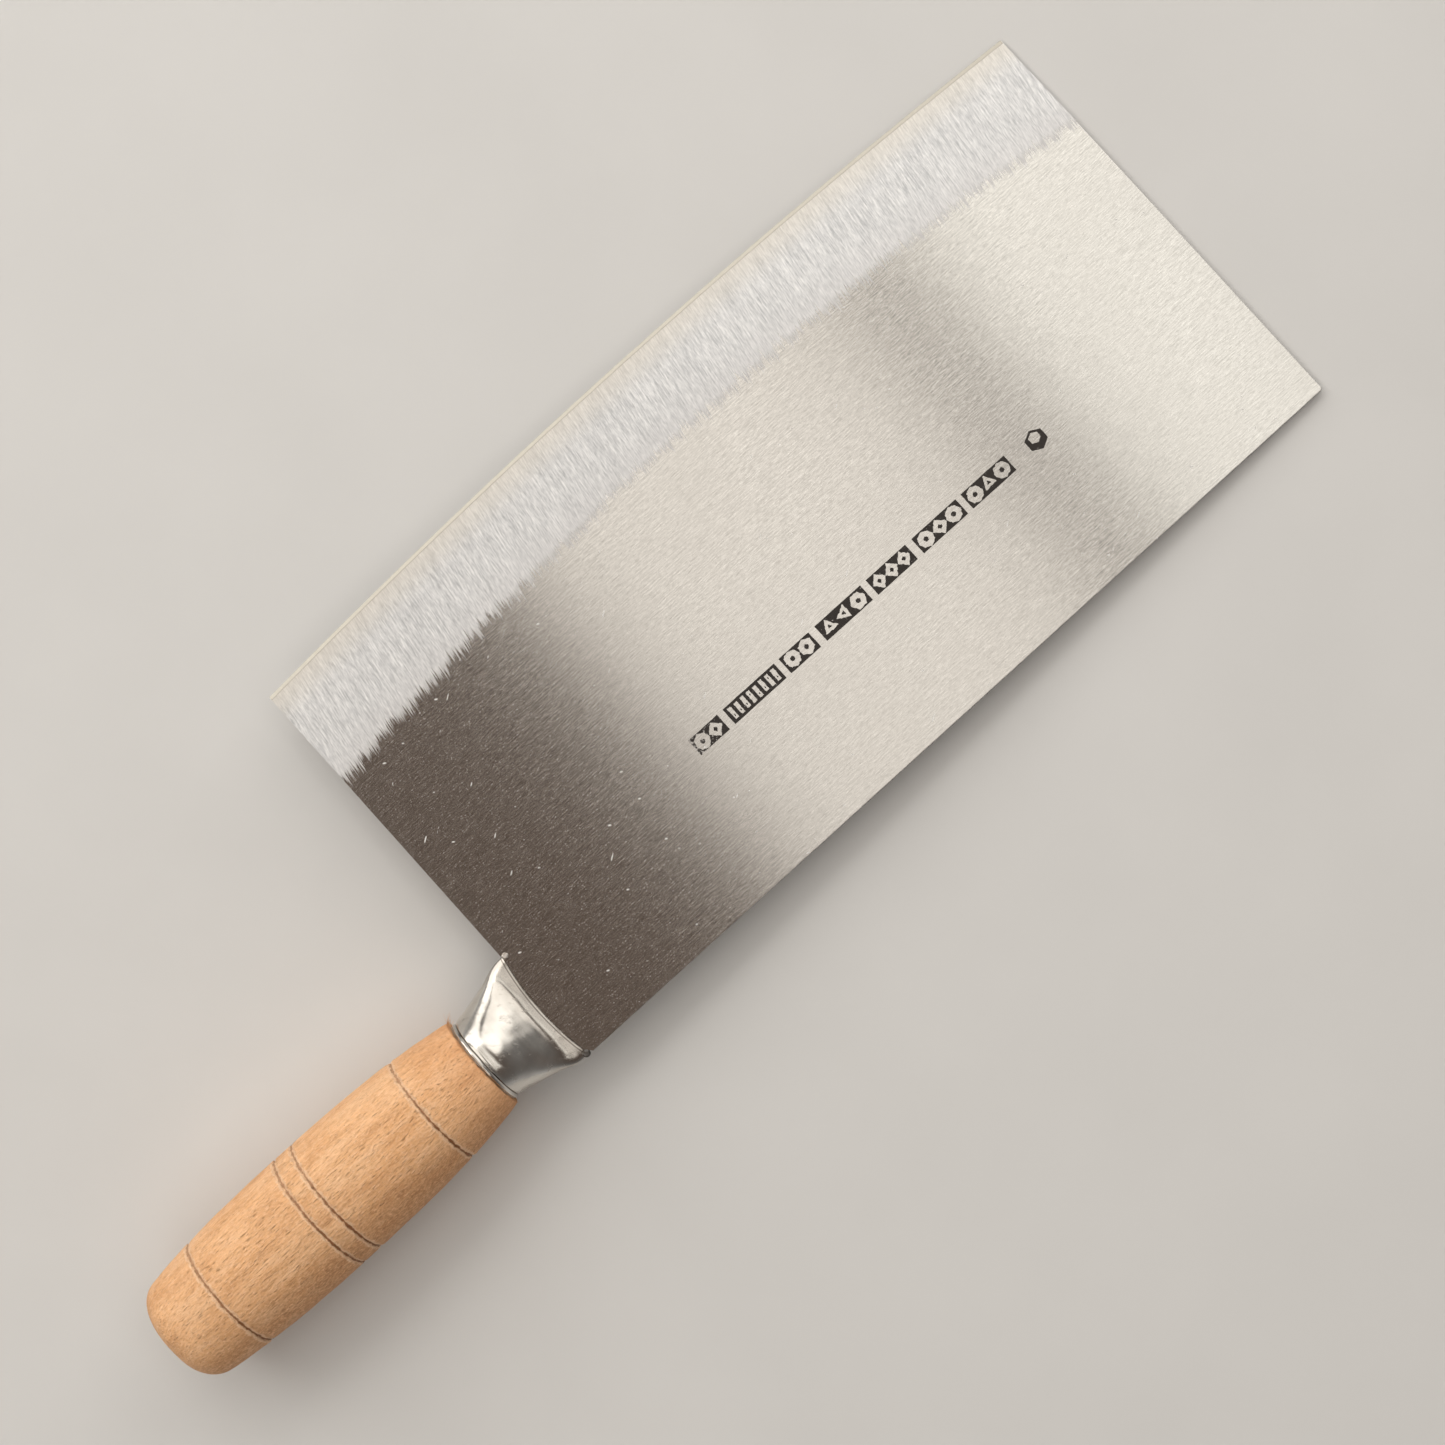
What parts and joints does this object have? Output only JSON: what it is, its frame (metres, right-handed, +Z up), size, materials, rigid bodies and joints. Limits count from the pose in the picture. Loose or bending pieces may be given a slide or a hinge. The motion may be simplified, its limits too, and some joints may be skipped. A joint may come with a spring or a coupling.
{
  "type": "kitchen cleaver",
  "caption": "Rectangular steel cleaver with a gently curved cutting edge, a flared steel ferrule and a turned wooden handle, lying on its side.",
  "frame": {"origin": "on the table, below the middle of the object's box, as it lies at rest on the handle's belly and the toe", "axes": "+X from the handle's butt to the blade's toe, +Y from the spine to the cutting edge, +Z up out of the upper cheek, which leans 3 degrees towards the toe"},
  "size_m": [0.3226, 0.1081, 0.0308],
  "materials": {
    "blade_steel": "brushed along the cheeks and ground across the bevels",
    "ferrule_steel": "polished stainless steel with light handling scuffs",
    "weld_steel": "bare weld bead",
    "tang_steel": "hot-rolled and hammered",
    "handle_wood": "turned, sanded and left bare"
  },
  "bodies": {
    "root": {"blade": "blade_steel", "tang": "tang_steel", "tang_weld": "weld_steel", "ferrule": "ferrule_steel", "edge_side_weld": "weld_steel", "spine_side_weld": "weld_steel", "handle": "handle_wood"}
  },
  "joints": []
}
